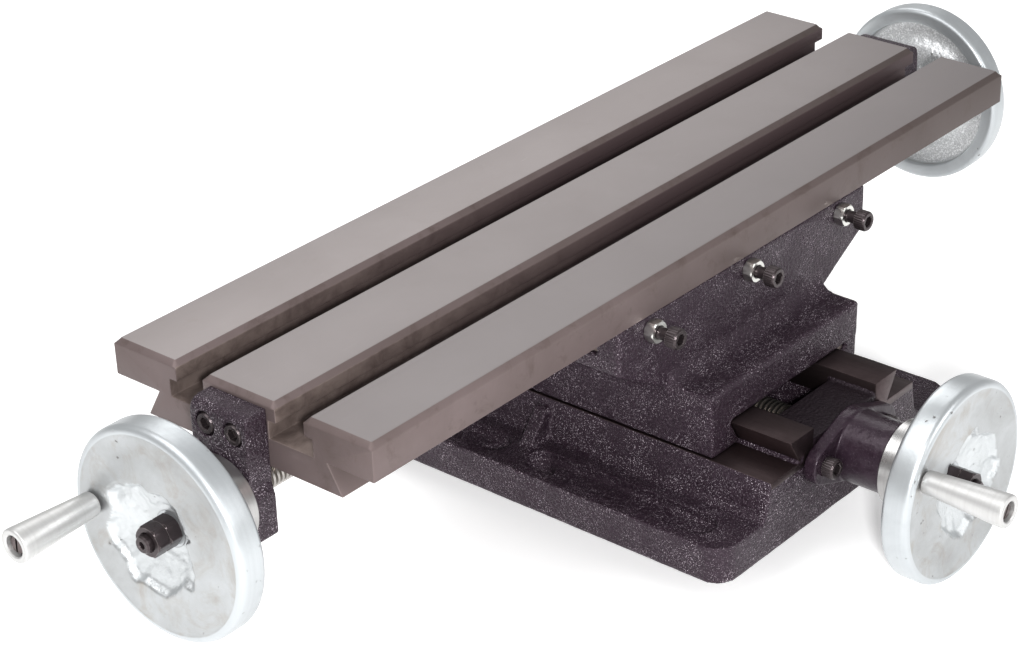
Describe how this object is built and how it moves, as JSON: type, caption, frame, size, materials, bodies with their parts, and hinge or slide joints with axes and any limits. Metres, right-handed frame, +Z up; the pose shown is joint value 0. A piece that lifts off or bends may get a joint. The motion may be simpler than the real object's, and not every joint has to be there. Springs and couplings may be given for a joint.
{
  "type": "compound cross-slide milling table",
  "caption": "Compound milling table with a T-slotted table on a cross slide, two feed screws and three cast handwheels.",
  "frame": {"origin": "middle of the base casting's flat underside", "axes": "+Z up, the table's length along X, the front handwheel towards -Y"},
  "size_m": [0.6683, 0.3689, 0.1493],
  "materials": {
    "wrinkle_black": "wrinkled black paint over cast iron",
    "smooth_black": "smooth satin black paint",
    "table_iron": "ground cast iron, oiled and lightly stained",
    "machined_iron": "milled cast iron, oily",
    "cast_aluminium": "cast aluminium with turned rim and face",
    "satin_steel": "satin turned steel",
    "turned_steel": "turned steel",
    "zinc": "bright zinc plate",
    "black_oxide": "black oxide steel",
    "bronze": "machined bronze"
  },
  "bodies": {
    "base": {"base_casting": "wrinkle_black", "front_bracket": "smooth_black", "front_bracket_screws": "black_oxide", "front_bush": "bronze"},
    "cross_feed": {"cross_screw": "turned_steel", "front_dial": "satin_steel", "front_handwheel": "cast_aluminium", "front_wheel_key": "turned_steel", "front_wheel_nuts": "black_oxide", "front_grip_stud": "zinc"},
    "front_grip_turn": {"front_grip": "turned_steel"},
    "saddle": {"saddle_casting": "wrinkle_black", "table_gib": "machined_iron", "table_gib_screws": "black_oxide", "table_gib_nuts": "zinc", "cross_gib": "machined_iron", "cross_gib_screws": "black_oxide", "cross_gib_nuts": "zinc", "long_nut": "bronze", "long_nut_screws": "black_oxide", "cross_nut": "bronze", "cross_nut_screws": "black_oxide"},
    "table_body": {"table": "table_iron", "left_bracket": "wrinkle_black", "left_bracket_screws": "black_oxide", "left_bush": "bronze", "right_bracket": "wrinkle_black", "right_bracket_screws": "black_oxide", "right_bush": "bronze"},
    "long_feed": {"long_screw": "turned_steel", "left_dial": "satin_steel", "left_handwheel": "cast_aluminium", "left_wheel_key": "turned_steel", "left_wheel_nuts": "black_oxide", "left_grip_stud": "zinc", "right_dial": "satin_steel", "right_handwheel": "cast_aluminium", "right_wheel_key": "turned_steel", "right_wheel_nuts": "black_oxide", "right_grip_stud": "zinc"},
    "left_grip_turn": {"left_grip": "turned_steel"},
    "right_grip_turn": {"right_grip": "turned_steel"}
  },
  "joints": [
    {"name": "cross_slide", "type": "slide", "parent": "base", "child": "saddle", "axis": [0, 1, 0], "range_m": [-0.055, 0.055]},
    {"name": "long_slide", "type": "slide", "parent": "saddle", "child": "table_body", "axis": [1, 0, 0], "range_m": [-0.095, 0.125]},
    {"name": "cross_screw_turn", "type": "hinge", "parent": "base", "child": "cross_feed", "pos_m": [0, -0.15, 0.033], "axis": [0, 1, 0], "range_deg": [-7919, 7919]},
    {"name": "long_screw_turn", "type": "hinge", "parent": "table_body", "child": "long_feed", "pos_m": [-0.015, 0, 0.0843], "axis": [1, 0, 0], "range_deg": [-13679, 17999]},
    {"name": "front_grip_spin", "type": "hinge", "parent": "cross_feed", "child": "front_grip_turn", "pos_m": [-0.03355, -0.2158, 0.05084], "axis": [0, -1, 0], "continuous": true},
    {"name": "left_grip_spin", "type": "hinge", "parent": "long_feed", "child": "left_grip_turn", "pos_m": [-0.325, 0.03795, 0.08629], "axis": [-1, 0, 0], "continuous": true},
    {"name": "right_grip_spin", "type": "hinge", "parent": "long_feed", "child": "right_grip_turn", "pos_m": [0.298, 0.013, 0.04859], "axis": [1, 0, 0], "continuous": true}
  ],
  "couplings": [
    {"joint": "cross_slide", "follows": "cross_screw_turn", "m_per_rad": 0.00039789},
    {"joint": "long_slide", "follows": "long_screw_turn", "m_per_rad": 0.00039789}
  ]
}
